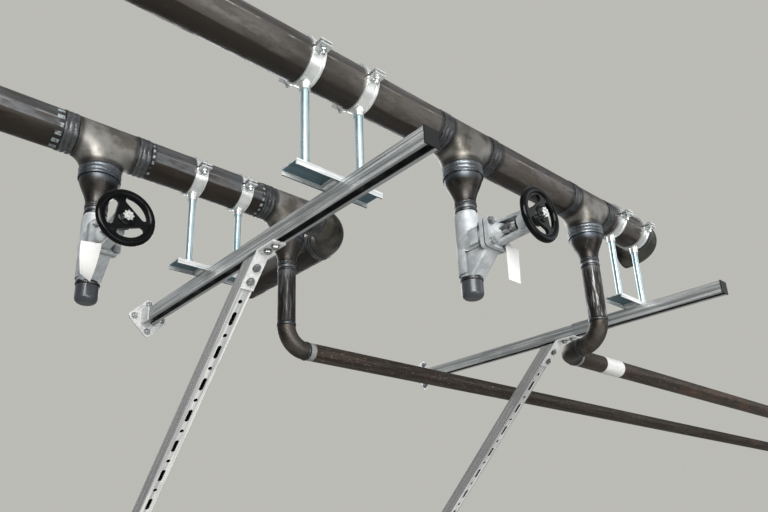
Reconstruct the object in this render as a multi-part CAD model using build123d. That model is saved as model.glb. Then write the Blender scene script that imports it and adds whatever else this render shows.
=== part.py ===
"""Wall-bracket pipe bridge.

Two headers run along a wall on stems that stand on two braced channel rails.
Each header has a stop-valve branch and a drop branch that turns into a run pipe.
Millimetres, +Z up, the wall is the plane Y = 0 and the bridge stands out towards -Y.
The origin is the middle of the left rail's wall plate, on the wall face.
"""
import math
import os

from build123d import *

# Rails and braces: one cold-rolled channel section
BAY = 1366.0
CHANNEL_W = 41.0
CHANNEL_H = 41.0
CHANNEL_T = 2.5
SLOT_OPENING = 22.0
LIP_RETURN = 7.5
GROOVE_W = 3.0
GROOVE_D = 1.0
GROOVE_PITCH = 9.5
RAIL_REACH = 1374.0
RAIL_STANDOFF = 8.0
BRACE_FACE_SUM = -765.0
BRACE_TOP_GAP = 10.0
HOLE_PITCH = 55.0
PERFORATION_W = 13.0
PERFORATION_L = 44.0
RAIL_FIRST_HOLE = 60.0
RAIL_LAST_HOLE = 40.0
BRACE_FIRST_HOLE = 135.0
BRACE_LAST_HOLE = 290.0

# Wall plates and cheeks
PLATE_SIDE = 104.0
PLATE_CORNER_R = 12.0
PLATE_T = 6.0
ANCHOR_CIRCLE_R = 50.0
ANCHOR_HOLE_R = 6.5
CHEEK_T = 4.0
CHEEK_REACH = 62.0
CHEEK_H = 52.0
SIDE_FIT = 0.3

# Brace heads and the sleeve on the right rail
HEAD_T = 5.0
HEAD_RAIL_LEG = 80.0
HEAD_BRACE_LEG = 116.0
SLEEVE_T = 2.0
SLEEVE_START = 823.0
SLEEVE_LEN = 144.0

# Headers: pipe size 100
HEADER_OD = 114.3
HEADER_WALL = 3.6
HEADER_Z = 337.0
TEE_REACH = 105.0
TEE_CROTCH_R = 34.0
HEADER_BEND_R = 152.4
FRONT_BEND_R = 114.3
HEADER_LEFT = -690.0
FRONT_Y = -1070.0
REAR_Y = -428.5
REAR_VALVE_X = -350.0
REAR_DROP_X = 293.5
FRONT_VALVE_X = 465.0
FRONT_DROP_X = BAY - 268.0
FRONT_TURN_X = BAY + 226.0
WALL_PIPE_END_Y = 245.0
OUTLET_LEN = 10.0

# Branches: pipe size 50
BRANCH_OD = 60.3
BRANCH_WALL = 2.9
BRANCH_BEND_R = 76.0
REDUCER_LEN = 102.0
RUN_Z = -158.5
REAR_RUN_END_X = 4272.0
FRONT_RUN_END_X = 3050.0

# Supports
STEM_OD = 21.3
CROSS_LEN = 257.0
CROSS_W = 62.0
CROSS_H = 16.0
CROSS_T = 4.0
SEAT_LEN = 62.0
SEAT_FIT = 3.0
BAND_W = 40.0
BAND_T = 3.0
BAND_RIM_W = 5.0
BAND_RIM_H = 3.0
BAND_FIT = 0.15
EAR_REACH = 32.0
EAR_T = 4.0
EAR_GAP = 6.0
BOSS_R = 14.0
BOSS_BOTTOM_Z = 254.0
SUPPORTS = {
    "rear_left": (REAR_Y, (-63.5, 99.5)),
    "front_left": (FRONT_Y, (-97.5, 71.5)),
    "front_right": (FRONT_Y, (BAY - 93.5, BAY + 66.5)),
}

# Stop valves, measured out along the bonnet axis from the pipe axis
VALVE_Z = 3.0
VALVE_TOP_Z = 109.5
VALVE_BOTTOM_Z = -99.5
VALVE_END_LEN = 14.0
BODY_R = 34.0
WEB_W = 56.0
WEB_EDGE_R = 7.0
POCKET_D = 4.0
PAD_T = 2.0
FLANGE_HALF = 43.0
FLANGE_CORNER_R = 13.0
FLANGE_T = 13.0
SPLIT_Y = 88.0
GASKET_T = 2.0
ARM_IN = 24.0
ARM_OUT = 34.0
ARM_W = 26.0
ARM_TAPER = 5.0
NECK_LEN = 24.0
GLAND_LEN = 16.0
GLAND_NUT_LEN = 8.0
YOKE_CLEAR = 25.0
YOKE_HUB_LEN = 24.0
YOKE_HUB_R = 19.0
SPINDLE_R = 8.0
SPINDLE_FIT = 0.08
SPINDLE_IN = 70.0
SPINDLE_PROUD = 20.0
BUSH_R = 12.0
BUSH_FIT = 0.08
WHEEL_CLEAR = 36.0
WHEEL_R = 76.0
RIM_HALF_W = 10.0
RIM_HALF_T = 9.0
WHEEL_WEB_T = 9.0
SPOKE_W = 19.0
WINDOW_R = 54.0
WINDOW_CORNER_R = 8.0
HUB_R = 27.0
HUB_CHORD = 28.0
HUB_BACK = 14.0
HUB_FRONT = 8.0
HUB_DOME_R = 12.0
NUT_R = 11.0
NUT_LOBES = 8
SPOKE_TURN = {"rear": 20.0, "front": -18.0}
CAP_LEN = 54.0
TAG_H = 100.0
TAG_W = 50.0
TAG_T = 1.2
TAG_STANDOFF = 11.0
TAG_WIRE_R = 0.8
TAG_HANG = {"rear": (-38.5, 31.0, -15.0, 45.0, -5.0), "front": (40.0, 34.0, -4.0, 1.0, -4.5)}

NECK_FROM = SPLIT_Y + GASKET_T + FLANGE_T
GLAND_FROM = NECK_FROM + NECK_LEN
YOKE_HUB_IN = GLAND_FROM + GLAND_LEN + GLAND_NUT_LEN + YOKE_CLEAR
YOKE_HUB_OUT = YOKE_HUB_IN + YOKE_HUB_LEN
WHEEL_Y = YOKE_HUB_OUT + WHEEL_CLEAR
SPINDLE_OUT = WHEEL_Y + SPINDLE_PROUD

RAIL_TOP = CHANNEL_H / 2
CROSS_TOP = RAIL_TOP + CROSS_H
RAIL_XS = (0.0, BAY)


def save(name, shape):
    """Write one node."""
    export_step(shape, os.path.join("parts", name + ".step"))


def channel_section():
    """Lipped channel with grooved sides, open towards local -Y."""
    outer = Rectangle(CHANNEL_W, CHANNEL_H)
    inner = Rectangle(CHANNEL_W - 2 * CHANNEL_T, CHANNEL_H - 2 * CHANNEL_T)
    mouth = Pos(0, -CHANNEL_H / 2 + CHANNEL_T / 2) * Rectangle(SLOT_OPENING, CHANNEL_T)
    section = outer - inner - mouth
    for side in (-1, 1):
        lip_x = side * (SLOT_OPENING / 2 + CHANNEL_T / 2)
        lip_y = -CHANNEL_H / 2 + LIP_RETURN / 2
        section += Pos(lip_x, lip_y) * Rectangle(CHANNEL_T, LIP_RETURN)
        for step in (-1, 0, 1):
            groove = Rectangle(2 * GROOVE_D, GROOVE_W)
            section -= Pos(side * CHANNEL_W / 2, step * GROOVE_PITCH) * groove
    return section


def perforate(shape, plane, first, last):
    """Cut slots and round holes in turn through the channel's closed face."""
    count = int((last - first) // HOLE_PITCH) + 1
    for index in range(count):
        along = first + index * HOLE_PITCH
        if index % 2:
            hole = Circle(PERFORATION_W / 2)
        else:
            hole = SlotOverall(PERFORATION_L, PERFORATION_W)
        face = plane * Pos(0, CHANNEL_H / 2 - CHANNEL_T - 1, along) * Rot(-90, 0, 0) * Rot(0, 0, 90) * hole
        shape -= extrude(face, amount=CHANNEL_T + 2)
    return shape


def rail(x):
    """Horizontal channel, open side down, from the wall plate outwards."""
    plane = Plane(origin=(x, -RAIL_STANDOFF, 0), x_dir=(1, 0, 0), z_dir=(0, -1, 0))
    length = RAIL_REACH - RAIL_STANDOFF
    bar = extrude(plane * channel_section(), amount=length)
    return perforate(bar, plane, RAIL_FIRST_HOLE, length - RAIL_LAST_HOLE)


def brace(x):
    """Channel at 45 degrees, closed face outwards, cut level at the rail and upright at the wall."""
    foot_z = BRACE_FACE_SUM + CHANNEL_H / 2 * math.sqrt(2)
    slope = Vector(0, -1, 1).normalized()
    start = Vector(x, 60, foot_z - 60)
    plane = Plane(origin=start, x_dir=(-1, 0, 0), z_dir=slope)
    length = 1250.0
    bar = extrude(plane * channel_section(), amount=length)
    keep = Pos(x, -600 - RAIL_STANDOFF, -600 - RAIL_TOP - BRACE_TOP_GAP) * Box(100, 1200, 1200)
    holes = perforate(bar, plane, BRACE_FIRST_HOLE, length - BRACE_LAST_HOLE)
    return holes & keep


def rail_cap(x):
    """Plastic cap over a rail's free end."""
    plate = Pos(x, -RAIL_REACH - 1.5, 0) * Box(CHANNEL_W + 2, 3, CHANNEL_H + 2)
    plug_w = CHANNEL_W - 2 * CHANNEL_T - 1
    plug = Pos(x, -RAIL_REACH + 6, 6) * Box(plug_w, 12, CHANNEL_H - 2 * CHANNEL_T - 13)
    return plate + plug


def wall_plate(x, z):
    """Square plate standing on its corner, with an anchor hole near each corner."""
    plane = Plane(origin=(x, 0, z), x_dir=(1, 0, 0), z_dir=(0, -1, 0))
    square = Rot(0, 0, 45) * RectangleRounded(PLATE_SIDE, PLATE_SIDE, PLATE_CORNER_R)
    for index in range(4):
        angle = math.radians(90 * index)
        spot = Pos(ANCHOR_CIRCLE_R * math.cos(angle), ANCHOR_CIRCLE_R * math.sin(angle))
        square -= spot * Circle(ANCHOR_HOLE_R)
    return extrude(plane * square, amount=PLATE_T)


def saddle(x):
    """Wall plate with two upright cheeks that hold the rail's sides."""
    shape = wall_plate(x, 0)
    for side in (-1, 1):
        inner = CHANNEL_W / 2 + SIDE_FIT
        start = x + side * inner if side > 0 else x - inner - CHEEK_T
        outline = Pos(-CHEEK_REACH / 2, 0) * RectangleRounded(CHEEK_REACH, CHEEK_H, 8)
        outline &= Pos(-CHEEK_REACH / 2 - PLATE_T / 2, 0) * Rectangle(CHEEK_REACH - PLATE_T, CHEEK_H)
        shape += extrude(Pos(start, 0, 0) * (Plane.YZ * outline), amount=CHEEK_T, dir=(1, 0, 0))
    return shape


def brace_foot(x):
    """The same wall plate with cheeks that lean along the brace."""
    foot_z = BRACE_FACE_SUM + CHANNEL_H / 2 * math.sqrt(2)
    shape = wall_plate(x, foot_z)
    reach = CHEEK_REACH + 6
    half = 34.0
    for side in (-1, 1):
        inner = CHANNEL_W / 2 + SIDE_FIT
        start = x + side * inner if side > 0 else x - inner - CHEEK_T
        outline = Polygon(
            (-PLATE_T + 0.5, foot_z - half),
            (-PLATE_T + 0.5, foot_z + half),
            (-reach + 30, foot_z + half + 18),
            (-reach - 8, foot_z + half - 18),
            align=None,
        )
        shape += extrude(Pos(start, 0, 0) * (Plane.YZ * outline), amount=CHEEK_T, dir=(1, 0, 0))
    return shape


def brace_head(x):
    """Bent plate from the rail's underside down the brace's closed face."""
    rail_z = -RAIL_TOP
    bend_y = BRACE_FACE_SUM - rail_z
    slope = HEAD_BRACE_LEG / math.sqrt(2)
    inside_y = bend_y - HEAD_T * (math.sqrt(2) - 1)
    skew = HEAD_T / math.sqrt(2)
    outline = Polygon(
        (bend_y, rail_z),
        (bend_y - HEAD_RAIL_LEG, rail_z),
        (bend_y - HEAD_RAIL_LEG, rail_z - HEAD_T),
        (inside_y, rail_z - HEAD_T),
        (bend_y + slope - skew, rail_z - slope - skew),
        (bend_y + slope, rail_z - slope),
        align=None,
    )
    width = CHANNEL_W - 1
    return extrude(Pos(x - width / 2, 0, 0) * (Plane.YZ * outline), amount=width, dir=(1, 0, 0))


def rail_sleeve():
    """Smooth cover over the top and sides of the right rail."""
    z_dir = (0, -1, 0)
    plane = Plane(origin=(BAY, -SLEEVE_START, 0), x_dir=(1, 0, 0), z_dir=z_dir)
    outer_w = CHANNEL_W + 2 * (SLEEVE_T + SIDE_FIT)
    outer_h = CHANNEL_H + SLEEVE_T + SIDE_FIT
    outer = Pos(0, (SLEEVE_T + SIDE_FIT) / 2) * Rectangle(outer_w, outer_h)
    inner = Pos(0, SIDE_FIT / 2) * Rectangle(CHANNEL_W + 2 * SIDE_FIT, CHANNEL_H + SIDE_FIT)
    return extrude(plane * (outer - inner), amount=SLEEVE_LEN)


def cross_channel(y, xs):
    """Shallow channel across the rail, open side down, that carries two stems."""
    middle = sum(xs) / 2
    plane = Plane(origin=(middle - CROSS_LEN / 2, y, RAIL_TOP + CROSS_H / 2), x_dir=(0, 1, 0), z_dir=(1, 0, 0))
    outer = Rectangle(CROSS_W, CROSS_H)
    inner = Pos(0, -CROSS_T / 2) * Rectangle(CROSS_W - 2 * CROSS_T, CROSS_H - CROSS_T)
    return extrude(plane * (outer - inner), amount=CROSS_LEN)


def channel_seat(y, rail_x):
    """Fastening plate between the rail's top and the cross channel's web."""
    thick = CROSS_H - CROSS_T
    width = CROSS_W - 2 * (CROSS_T + SEAT_FIT)
    return Pos(rail_x, y, RAIL_TOP + thick / 2) * Box(SEAT_LEN, width, thick)


def stem(x, y):
    """Upright rod with a nut at its foot."""
    height = BOSS_BOTTOM_Z - CROSS_TOP
    rod = Pos(x, y, CROSS_TOP + height / 2) * Cylinder(STEM_OD / 2, height)
    nut = extrude(Pos(x, y, CROSS_TOP) * RegularPolygon(16.0, 6), amount=10)
    return rod + nut


def clamp(x, y):
    """Two half bands round a header; the lower half has the stem's boss."""
    inner_r = HEADER_OD / 2 + BAND_FIT
    band = Rectangle(BAND_W, BAND_T)
    section = Pos(0, inner_r + BAND_T / 2) * band
    for side in (-1, 1):
        rim = Rectangle(BAND_RIM_W, BAND_RIM_H)
        rim_x = side * (BAND_W / 2 - BAND_RIM_W / 2)
        section += Pos(rim_x, inner_r + BAND_T + BAND_RIM_H / 2) * rim
    plane = Plane(origin=(x, y, HEADER_Z), x_dir=(1, 0, 0), z_dir=(0, -1, 0))
    ring = revolve(plane * section, Axis((x, y, HEADER_Z), (1, 0, 0)), 360)
    core = Pos(x, y, HEADER_Z) * Rot(0, 90, 0) * Cylinder(inner_r, BAND_W + 40)
    halves = []
    reach = inner_r + BAND_T + BAND_RIM_H + 2
    for side in (-1, 1):
        half_box = Pos(x, y, HEADER_Z + side * (reach + EAR_GAP) / 2) * Box(BAND_W + 2, 2 * reach, reach)
        half = ring & half_box
        for ear_side in (-1, 1):
            ear_y = y + ear_side * (inner_r + EAR_REACH / 2)
            ear_z = HEADER_Z + side * (EAR_GAP / 2 + EAR_T / 2)
            ear = Pos(x, ear_y, ear_z) * Box(BAND_W - 6, EAR_REACH, EAR_T)
            half += ear - core
        if side < 0:
            top = HEADER_Z - inner_r - 1
            height = top - BOSS_BOTTOM_Z
            boss = Pos(x, y, BOSS_BOTTOM_Z + height / 2) * Cylinder(BOSS_R, height)
            half += boss - core
        halves.append(half)
    return halves


def ring_face(start, direction, od, wall):
    """Ring-shaped face square to a direction."""
    return Plane(origin=start, z_dir=direction) * (Circle(od / 2) - Circle(od / 2 - wall))


def tube(start, end, od, wall):
    """Straight pipe between two points on its axis."""
    axis = Vector(*end) - Vector(*start)
    return extrude(ring_face(start, axis.normalized(), od, wall), amount=axis.length)


def elbow(start, direction, centre, od, wall):
    """Quarter bend that leaves start along direction and turns round centre."""
    arm = Vector(*start) - Vector(*centre)
    turn = arm.cross(Vector(*direction))
    return revolve(ring_face(start, direction, od, wall), Axis(centre, tuple(turn)), 90)


def tee_form(x, y, radius, crotch):
    """Solid tee with its branch down and a rounded crotch on each side of the branch."""
    reach = radius + crotch
    stub = TEE_REACH - reach
    run = Pos(x, y, HEADER_Z) * Rot(0, 90, 0) * Cylinder(radius, 2 * reach)
    upper = run & (Pos(x, y, HEADER_Z + radius) * Box(2 * reach, 2 * radius, 2 * radius))
    block = Pos(x, y, HEADER_Z - reach / 2) * Box(2 * reach, 2 * radius, reach)
    lower_edge = Line((0, -radius), (reach, -radius))
    throat = ThreePointArc((reach, -radius), (crotch, 0), (reach, radius))
    upper_edge = Line((reach, radius), (0, radius))
    profile = make_face([lower_edge, throat, upper_edge, Line((0, radius), (0, -radius))])
    spool = revolve(profile, Axis.Y, 360)
    shape = upper
    for side in (-1, 1):
        block -= Pos(x + side * reach, y, HEADER_Z - reach) * spool
        arm = Pos(x + side * (reach + stub / 2), y, HEADER_Z) * Rot(0, 90, 0) * Cylinder(radius, stub)
        shape += arm
    leg = Pos(x, y, HEADER_Z - reach - stub / 2) * Cylinder(radius, stub)
    return shape + block + leg


def tee(x, y):
    """Equal welding tee, hollow right through."""
    radius = HEADER_OD / 2
    inside = tee_form(x, y, radius - HEADER_WALL, TEE_CROTCH_R + HEADER_WALL)
    return tee_form(x, y, radius, TEE_CROTCH_R) - inside


def reducer(x, y):
    """Concentric reducer under a tee, with a short straight end."""
    top = HEADER_Z - TEE_REACH
    low = top - REDUCER_LEN
    big = HEADER_OD / 2
    small = BRANCH_OD / 2
    bend = 0.42 * REDUCER_LEN
    outer = Bezier((big, top), (big, top - bend), (small, low + bend), (small, low))
    big_in = big - BRANCH_WALL
    small_in = small - BRANCH_WALL
    inner = Bezier((small_in, low), (small_in, low + bend), (big_in, top - bend), (big_in, top))
    rims = [Line((small, low), (small_in, low)), Line((big_in, top), (big, top))]
    profile = Plane.XZ * make_face([outer, rims[0], inner, rims[1]])
    cone = Pos(x, y, 0) * revolve(profile, Axis.Z, 360)
    pup = tube((x, y, low), (x, y, VALVE_TOP_Z), BRANCH_OD, BRANCH_WALL)
    return cone, pup


def square_plate(x, y, near, far):
    """Rounded square flange on the bonnet axis between two distances from the pipe axis."""
    plane = Plane(origin=(x, y - near, VALVE_Z), x_dir=(1, 0, 0), z_dir=(0, -1, 0))
    outline = RectangleRounded(2 * FLANGE_HALF, 2 * FLANGE_HALF, FLANGE_CORNER_R)
    return extrude(plane * outline, amount=far - near)


def out_rod(x, y, near, far, radius):
    """Cylinder on the bonnet axis."""
    return Pos(x, y - (near + far) / 2, VALVE_Z) * Rot(90, 0, 0) * Cylinder(radius, far - near)


def side_prism(x, points, width, corner):
    """Prism across the valve from an outline in Y and Z, with rounded long edges."""
    outline = Plane.YZ * Polygon(*points, align=None)
    prism = extrude(Pos(x - width / 2, 0, 0) * outline, amount=width, dir=(1, 0, 0))
    if corner:
        prism = fillet(prism.faces().filter_by(Axis.X).edges(), corner)
    return prism


def valve_body(x, y):
    """Straight body with weld ends, a bowl that leans to the flange, and the spindle's chamber."""
    height = VALVE_TOP_Z - VALVE_BOTTOM_Z
    middle = Pos(x, y, (VALVE_TOP_Z + VALVE_BOTTOM_Z) / 2)
    core = middle * Cylinder(BODY_R, height - 2 * VALVE_END_LEN)
    ends = middle * Cylinder(BRANCH_OD / 2, height)
    flange_in = SPLIT_Y - FLANGE_T
    low_z = VALVE_BOTTOM_Z + 1
    high_z = VALVE_Z + 36
    bowl = [
        (y + 4, high_z),
        (y + 4, low_z),
        (y - 24, low_z),
        (y - flange_in - 8, VALVE_Z - 40),
        (y - flange_in - 8, high_z),
    ]
    shape = core + ends + side_prism(x, bowl, WEB_W, WEB_EDGE_R)
    shape += out_rod(x, y, 0, flange_in + 1, 38)
    pocket = [
        (y - 10, low_z + 11),
        (y - 16, low_z + 11),
        (y - flange_in + 12, VALVE_Z - 36),
        (y - flange_in + 12, VALVE_Z - 27),
        (y - 10, VALVE_Z - 27),
    ]
    for side in (-1, 1):
        shape -= side_prism(x + side * WEB_W / 2, pocket, 2 * POCKET_D, 0)
        pad = Pos(x + side * BODY_R, y - flange_in + 24, VALVE_Z) * Box(2 * (PAD_T + 4), 28, 42)
        shape += pad
    shape += square_plate(x, y, flange_in, SPLIT_Y)
    shape -= out_rod(x, y, SPINDLE_IN - 4, SPLIT_Y + 1, SPINDLE_R + 3)
    return shape


def valve_bonnet(x, y):
    """Square flange, neck and two-armed yoke, bored for the spindle and the wheel's bush."""
    shape = square_plate(x, y, SPLIT_Y, NECK_FROM)
    neck_plane = Plane(origin=(x, y - NECK_FROM, VALVE_Z), z_dir=(0, -1, 0))
    shape += loft([neck_plane * Circle(33), neck_plane.offset(NECK_LEN) * Circle(20)])
    for side in (-1, 1):
        arm = [
            (y - NECK_FROM + 2, VALVE_Z + side * ARM_IN),
            (y - NECK_FROM + 2, VALVE_Z + side * ARM_OUT),
            (y - YOKE_HUB_OUT, VALVE_Z + side * (ARM_OUT - ARM_TAPER)),
            (y - YOKE_HUB_OUT, VALVE_Z + side * (ARM_IN - ARM_TAPER)),
        ]
        shape += side_prism(x, arm, ARM_W, 2)
    bridge_h = 2 * (ARM_OUT - ARM_TAPER) - 4
    shape += Pos(x, y - YOKE_HUB_IN - YOKE_HUB_LEN / 2, VALVE_Z) * Box(ARM_W, YOKE_HUB_LEN, bridge_h)
    shape += out_rod(x, y, YOKE_HUB_IN, YOKE_HUB_OUT, YOKE_HUB_R)
    shape -= out_rod(x, y, SPLIT_Y - 1, GLAND_FROM + 1, SPINDLE_R + SPINDLE_FIT)
    shape -= out_rod(x, y, YOKE_HUB_IN - 1, YOKE_HUB_OUT + 1, BUSH_R + BUSH_FIT)
    gland_end = GLAND_FROM + GLAND_LEN
    gland = out_rod(x, y, GLAND_FROM, gland_end, 15) + out_rod(x, y, gland_end, gland_end + GLAND_NUT_LEN, 11)
    gland -= out_rod(x, y, GLAND_FROM - 1, gland_end + GLAND_NUT_LEN + 1, SPINDLE_R + SPINDLE_FIT)
    return shape, gland


def spindle(x, y):
    """Rod that lifts without turning."""
    return out_rod(x, y, SPINDLE_IN, SPINDLE_OUT, SPINDLE_R)


def handwheel(x, y, turn):
    """Rim on a web with three windows, hub, lobed nut and the bush that turns in the yoke."""
    centre = (x, y - WHEEL_Y, VALVE_Z)
    section = Pos(WHEEL_R - RIM_HALF_W, 0) * Ellipse(RIM_HALF_W, RIM_HALF_T)
    rim_plane = Plane(origin=centre, x_dir=(1, 0, 0), z_dir=(0, 0, 1))
    wheel = revolve(rim_plane * section, Axis(centre, (0, 1, 0)), 360)

    windows = Circle(WINDOW_R) - Rot(0, 0, 90 + turn) * RegularPolygon(2 * HUB_CHORD, 3)
    for index in range(3):
        spoke = Pos(WHEEL_R / 2, 0) * Rectangle(WHEEL_R, SPOKE_W)
        windows -= Rot(0, 0, 90 + turn + 120 * index) * spoke
    windows = fillet(windows.vertices(), WINDOW_CORNER_R)
    web = Circle(WHEEL_R - RIM_HALF_W) - windows
    back = Plane(origin=(x, y - WHEEL_Y + WHEEL_WEB_T / 2, VALVE_Z), x_dir=(1, 0, 0), z_dir=(0, -1, 0))
    wheel += extrude(back * web, amount=WHEEL_WEB_T)

    front = WHEEL_Y + HUB_FRONT
    hub = out_rod(x, y, WHEEL_Y - HUB_BACK, front, HUB_R)
    wheel += fillet(hub.edges().group_by(Axis.Y)[0], HUB_DOME_R)
    nut = Circle(NUT_R)
    for index in range(NUT_LOBES):
        nut += Rot(0, 0, 360 / NUT_LOBES * index) * Pos(NUT_R, 0) * Circle(3)
    nut_plane = Plane(origin=(x, y - front, VALVE_Z), x_dir=(1, 0, 0), z_dir=(0, -1, 0))
    wheel += extrude(nut_plane * nut, amount=10)
    wheel += out_rod(x, y, YOKE_HUB_IN - 2, WHEEL_Y, BUSH_R)
    wheel += out_rod(x, y, YOKE_HUB_IN - 7, YOKE_HUB_IN - 1, BUSH_R + 4)
    wheel -= out_rod(x, y, YOKE_HUB_IN - 10, SPINDLE_OUT + 5, SPINDLE_R + SPINDLE_FIT)
    return wheel


def valve_cap(x, y):
    """Blind cap welded under the valve."""
    radius = BRANCH_OD / 2
    shell = Pos(x, y, VALVE_BOTTOM_Z - CAP_LEN / 2) * Cylinder(radius, CAP_LEN)
    shell = fillet(shell.edges().group_by(Axis.Z)[0], 15)
    bore = Pos(x, y, VALVE_BOTTOM_Z - (CAP_LEN - 12) / 2) * Cylinder(radius - BRANCH_WALL, CAP_LEN - 12)
    return shell - bore


def valve_tag(x, y, offset, drop, top_turn, low_turn, lean):
    """Blank label that turns and leans as it falls, with the wire that ties it to the lower yoke arm."""
    side = math.copysign(1, offset)
    hang_y = y - NECK_FROM - TAG_STANDOFF
    high = VALVE_Z - drop
    sections = []
    for share in (0, 0.5, 1):
        plane = Plane(origin=(x + offset + lean * share, hang_y, high - TAG_H * share), z_dir=(0, 0, 1))
        angle = top_turn + (low_turn - top_turn) * share
        sections.append(plane * Rot(0, 0, angle) * Rectangle(TAG_W, TAG_T))
    label = loft(sections)
    eye_reach = TAG_W / 2 - 6
    turn = math.radians(top_turn)
    eye = Vector(x + offset - side * eye_reach * math.cos(turn), hang_y - side * eye_reach * math.sin(turn), high - 4)
    arm_z = VALVE_Z - (ARM_IN + ARM_OUT) / 2
    tie = Vector(x + side * (ARM_W / 2 + TAG_WIRE_R + SIDE_FIT), eye.Y, arm_z)
    line = tie - eye
    wire = extrude(Plane(origin=eye, z_dir=line.normalized()) * Circle(TAG_WIRE_R), amount=line.length)
    return label + wire


def main():
    os.makedirs("parts", exist_ok=True)
    for name, x in zip(("left", "right"), RAIL_XS):
        save(name + "_rail", rail(x))
        save(name + "_brace", brace(x))
    save("rail_end_caps", Compound([rail_cap(x) for x in RAIL_XS]))
    save("wall_saddles", Compound([saddle(x) for x in RAIL_XS]))
    save("brace_heads", Compound([brace_head(x) for x in RAIL_XS]))
    save("brace_feet", Compound([brace_foot(x) for x in RAIL_XS]))
    save("rail_sleeve", rail_sleeve())

    seats = []
    for name, (y, xs) in SUPPORTS.items():
        save(name + "_cross_channel", cross_channel(y, xs))
        save(name + "_stems", Compound([stem(x, y) for x in xs]))
        halves = []
        for x in xs:
            halves += clamp(x, y)
        save(name + "_clamps", Compound(halves))
        seats.append(channel_seat(y, BAY if name.endswith("right") else 0.0))
    save("channel_seats", Compound(seats))

    rear_spans = [
        (HEADER_LEFT, REAR_VALVE_X - TEE_REACH),
        (REAR_VALVE_X + TEE_REACH, REAR_DROP_X - TEE_REACH),
    ]
    front_spans = [
        (HEADER_LEFT, FRONT_VALVE_X - TEE_REACH),
        (FRONT_VALVE_X + TEE_REACH, FRONT_DROP_X - TEE_REACH),
        (FRONT_DROP_X + TEE_REACH, FRONT_TURN_X - FRONT_BEND_R),
    ]
    for name, y, spans in (("rear", REAR_Y, rear_spans), ("front", FRONT_Y, front_spans)):
        pipes = [tube((a, y, HEADER_Z), (b, y, HEADER_Z), HEADER_OD, HEADER_WALL) for a, b in spans]
        save(name + "_header_spools", Compound(pipes))
    save("rear_tees", Compound([tee(x, REAR_Y) for x in (REAR_VALVE_X, REAR_DROP_X)]))
    save("front_tees", Compound([tee(x, FRONT_Y) for x in (FRONT_VALVE_X, FRONT_DROP_X)]))

    turn_start = REAR_DROP_X + TEE_REACH
    rear_bend = elbow(
        (turn_start, REAR_Y, HEADER_Z), (1, 0, 0), (turn_start, REAR_Y + HEADER_BEND_R, HEADER_Z),
        HEADER_OD, HEADER_WALL,
    )
    save("rear_header_elbow", rear_bend)
    wall_x = turn_start + HEADER_BEND_R
    wall_start = REAR_Y + HEADER_BEND_R
    wall_pipe = tube((wall_x, wall_start, HEADER_Z), (wall_x, WALL_PIPE_END_Y, HEADER_Z), HEADER_OD, HEADER_WALL)
    save("wall_pipe", wall_pipe)
    front_start = FRONT_TURN_X - FRONT_BEND_R
    outlet_y = FRONT_Y + FRONT_BEND_R
    front_bend = elbow(
        (front_start, FRONT_Y, HEADER_Z), (1, 0, 0), (front_start, outlet_y, HEADER_Z),
        HEADER_OD, HEADER_WALL,
    )
    outlet = tube(
        (FRONT_TURN_X, outlet_y, HEADER_Z), (FRONT_TURN_X, outlet_y + OUTLET_LEN, HEADER_Z),
        HEADER_OD, HEADER_WALL,
    )
    save("front_header_elbow", Compound([front_bend, outlet]))

    rear_reducers = [*reducer(REAR_VALVE_X, REAR_Y), *reducer(REAR_DROP_X, REAR_Y)]
    front_reducers = [*reducer(FRONT_VALVE_X, FRONT_Y), *reducer(FRONT_DROP_X, FRONT_Y)]
    save("rear_reducers", Compound(rear_reducers))
    save("front_reducers", Compound(front_reducers))

    bend_top = RUN_Z + BRANCH_BEND_R
    x = REAR_DROP_X
    drop = tube((x, REAR_Y, VALVE_TOP_Z), (x, REAR_Y, bend_top), BRANCH_OD, BRANCH_WALL)
    save("rear_drop_pipe", drop)
    bend = elbow((x, REAR_Y, bend_top), (0, 0, -1), (x + BRANCH_BEND_R, REAR_Y, bend_top), BRANCH_OD, BRANCH_WALL)
    save("rear_drop_elbow", bend)
    run_start = (x + BRANCH_BEND_R, REAR_Y, RUN_Z)
    save("rear_run_pipe", tube(run_start, (REAR_RUN_END_X, REAR_Y, RUN_Z), BRANCH_OD, BRANCH_WALL))

    x = FRONT_DROP_X
    drop = tube((x, FRONT_Y, VALVE_TOP_Z), (x, FRONT_Y, bend_top), BRANCH_OD, BRANCH_WALL)
    save("front_drop_pipe", drop)
    turn_y = FRONT_Y + BRANCH_BEND_R
    run_y = turn_y + BRANCH_BEND_R
    first = elbow((x, FRONT_Y, bend_top), (0, 0, -1), (x, turn_y, bend_top), BRANCH_OD, BRANCH_WALL)
    centre = (x + BRANCH_BEND_R, turn_y, RUN_Z)
    second = elbow((x, turn_y, RUN_Z), (0, 1, 0), centre, BRANCH_OD, BRANCH_WALL)
    save("front_drop_elbows", Compound([first, second]))
    run_start = (x + BRANCH_BEND_R, run_y, RUN_Z)
    save("front_run_pipe", tube(run_start, (FRONT_RUN_END_X, run_y, RUN_Z), BRANCH_OD, BRANCH_WALL))

    spots = {"rear": (REAR_VALVE_X, REAR_Y), "front": (FRONT_VALVE_X, FRONT_Y)}
    for name, (x, y) in spots.items():
        save(name + "_valve_body", valve_body(x, y))
        save(name + "_valve_bonnet", Compound(list(valve_bonnet(x, y))))
        save(name + "_valve_spindle", spindle(x, y))
        save(name + "_handwheel", handwheel(x, y, SPOKE_TURN[name]))
    save("valve_caps", Compound([valve_cap(x, y) for x, y in spots.values()]))
    tags = [valve_tag(x, y, *TAG_HANG[name]) for name, (x, y) in spots.items()]
    save("valve_tags", Compound(tags))


main()
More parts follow.
